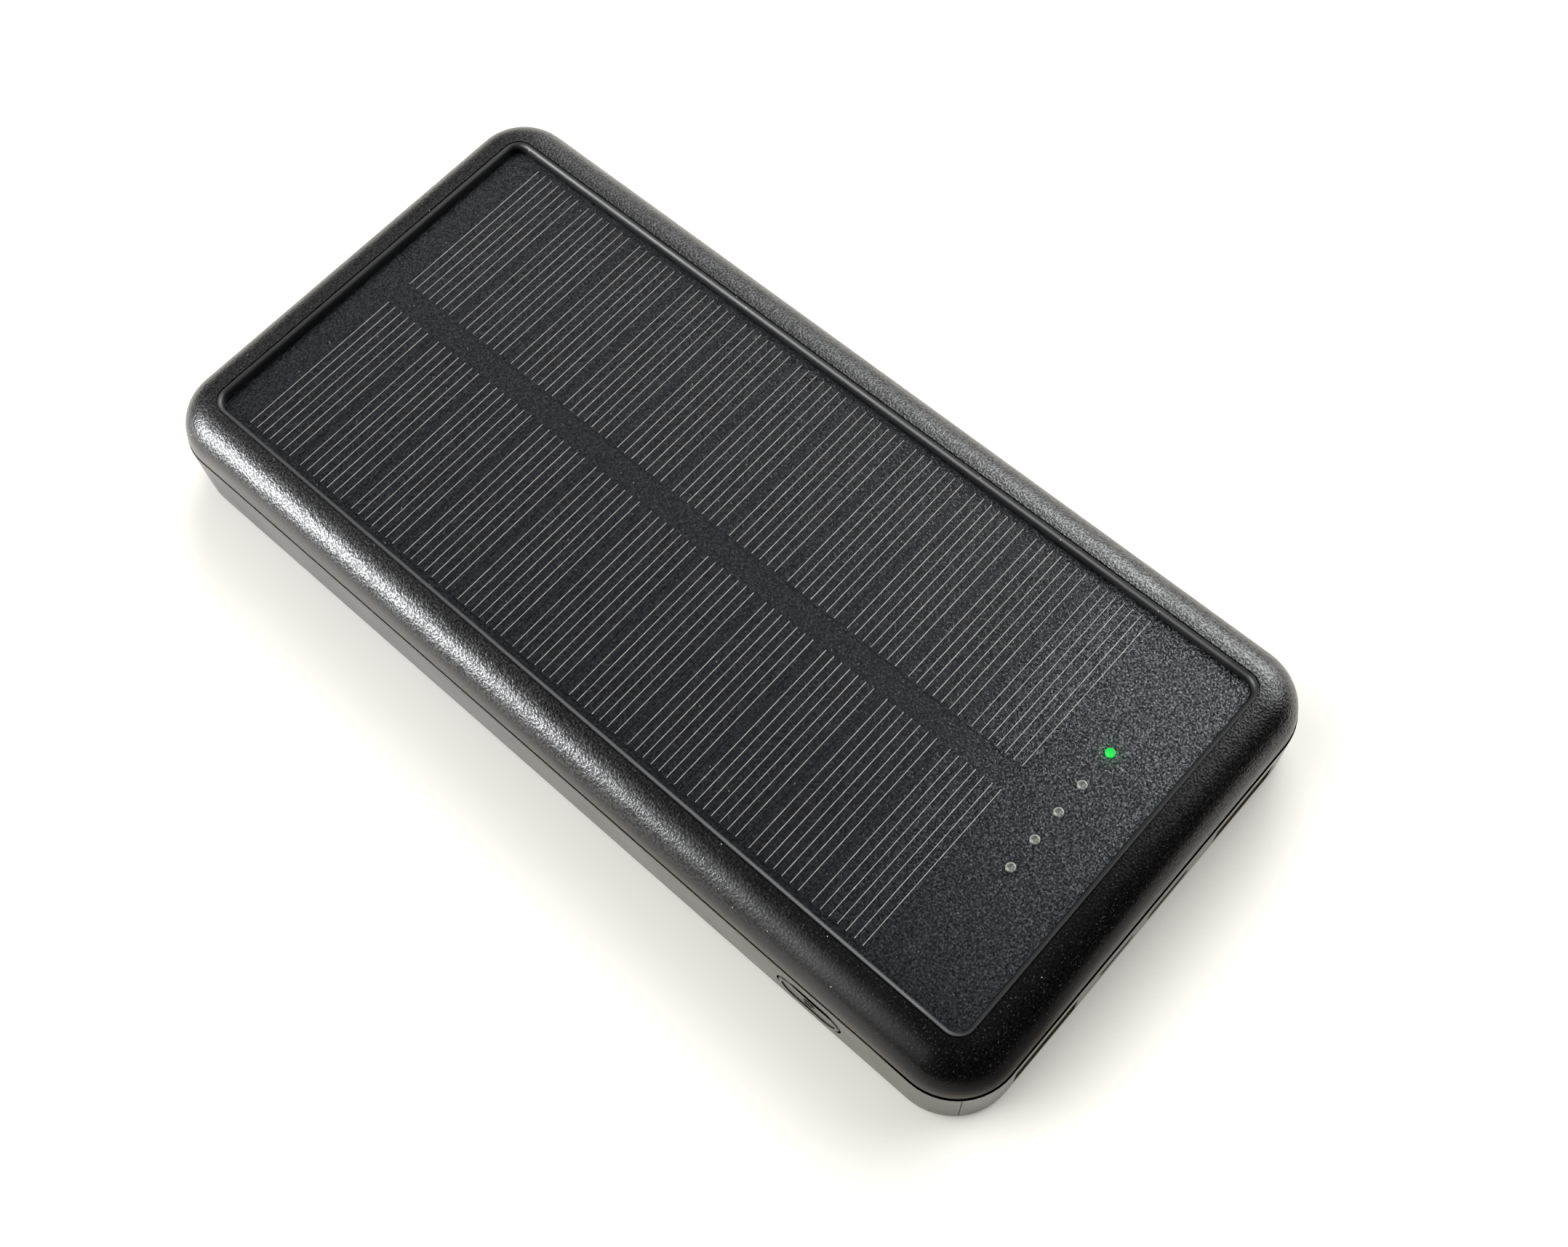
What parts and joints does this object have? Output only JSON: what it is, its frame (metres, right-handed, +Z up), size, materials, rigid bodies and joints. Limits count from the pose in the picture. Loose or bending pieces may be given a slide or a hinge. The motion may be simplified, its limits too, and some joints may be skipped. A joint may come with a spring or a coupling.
{
  "type": "solar phone charger",
  "caption": "Flat rectangular battery pack with a solar panel recessed in its top, indicator lights, a sprung power button in one side and charging ports in one end.",
  "frame": {"origin": "centre of the flat underside", "axes": "+Z up through the solar panel, +Y along the length away from the ports, +X across the width away from the power button"},
  "size_m": [0.0761, 0.1536, 0.0174],
  "materials": {
    "shell_plastic": "satin black moulded plastic",
    "cover_plastic": "black spark-eroded matte plastic",
    "panel_film": "clear textured film",
    "solar_cell": "blue-black silicon",
    "silver_print": "fired silver paste",
    "backing_board": "dark laminate",
    "adhesive_tape": "double-sided tape",
    "light_guide": "clear moulded acrylic",
    "circuit_board": "green solder mask",
    "port_steel": "nickel-plated steel",
    "port_insert": "black nylon",
    "gilt_contact": "gilt strip",
    "chip_package": "moulded chip package",
    "ferrite": "ferrite block",
    "ceramic": "ceramic chip part",
    "lamp_white": "white lamp package",
    "lamp_green": "green lamp package",
    "button_plastic": "black moulded plastic",
    "switch_plastic": "switch stem nylon",
    "pouch_foil": "laminated aluminium foil",
    "nickel_tab": "nickel strip",
    "foam_tape": "white foam tape",
    "lead_red": "silicone insulation",
    "lead_black": "silicone insulation",
    "screw_steel": "zinc-plated steel"
  },
  "bodies": {
    "case": {"battery_cell_left": "pouch_foil", "battery_cell_right": "pouch_foil", "battery_foam_tape": "foam_tape", "battery_leads_black": "lead_black", "battery_leads_red": "lead_red", "battery_tabs": "nickel_tab", "board_screws": "screw_steel", "bottom_shell": "shell_plastic", "capacitors_and_resistors": "ceramic", "finger_lines": "silver_print", "indicator_lamp_1": "lamp_white", "indicator_lamp_2": "lamp_white", "indicator_lamp_3": "lamp_white", "indicator_lamp_4": "lamp_white", "indicator_lamp_5": "lamp_green", "light_guide": "light_guide", "main_board": "circuit_board", "micro_usb_insert": "port_insert", "micro_usb_shell": "port_steel", "panel_adhesive": "adhesive_tape", "panel_backing_board": "backing_board", "panel_film": "panel_film", "panel_lead_black": "lead_black", "panel_lead_red": "lead_red", "port_contacts": "gilt_contact", "power_controller": "chip_package", "power_inductor": "ferrite", "protection_chip": "chip_package", "solar_cell_a01": "solar_cell", "solar_cell_a02": "solar_cell", "solar_cell_a03": "solar_cell", "solar_cell_a04": "solar_cell", "solar_cell_a05": "solar_cell", "solar_cell_a06": "solar_cell", "solar_cell_a07": "solar_cell", "solar_cell_a08": "solar_cell", "solar_cell_a09": "solar_cell", "solar_cell_a10": "solar_cell", "solar_cell_a11": "solar_cell", "solar_cell_b01": "solar_cell", "solar_cell_b02": "solar_cell", "solar_cell_b03": "solar_cell", "solar_cell_b04": "solar_cell", "solar_cell_b05": "solar_cell", "solar_cell_b06": "solar_cell", "solar_cell_b07": "solar_cell", "solar_cell_b08": "solar_cell", "solar_cell_b09": "solar_cell", "solar_cell_b10": "solar_cell", "solar_cell_b11": "solar_cell", "switch_case": "port_steel", "top_cover": "cover_plastic", "usb_a_left_insert": "port_insert", "usb_a_left_shell": "port_steel", "usb_a_right_insert": "port_insert", "usb_a_right_shell": "port_steel", "usb_c_insert": "port_insert", "usb_c_shell": "port_steel"},
    "button": {"power_button": "button_plastic"},
    "switch": {"switch_stem": "switch_plastic"}
  },
  "joints": [
    {"name": "power_button_press", "type": "slide", "parent": "case", "child": "button", "axis": [1, 0, 0], "range_m": [0, 0.0004], "stiffness_N_per_m": 1000, "springref_m": -0.0006},
    {"name": "switch_stem_travel", "type": "slide", "parent": "case", "child": "switch", "axis": [1, 0, 0], "range_m": [0, 0.0004]}
  ],
  "couplings": [
    {"joint": "switch_stem_travel", "follows": "power_button_press", "ratio": 1}
  ]
}
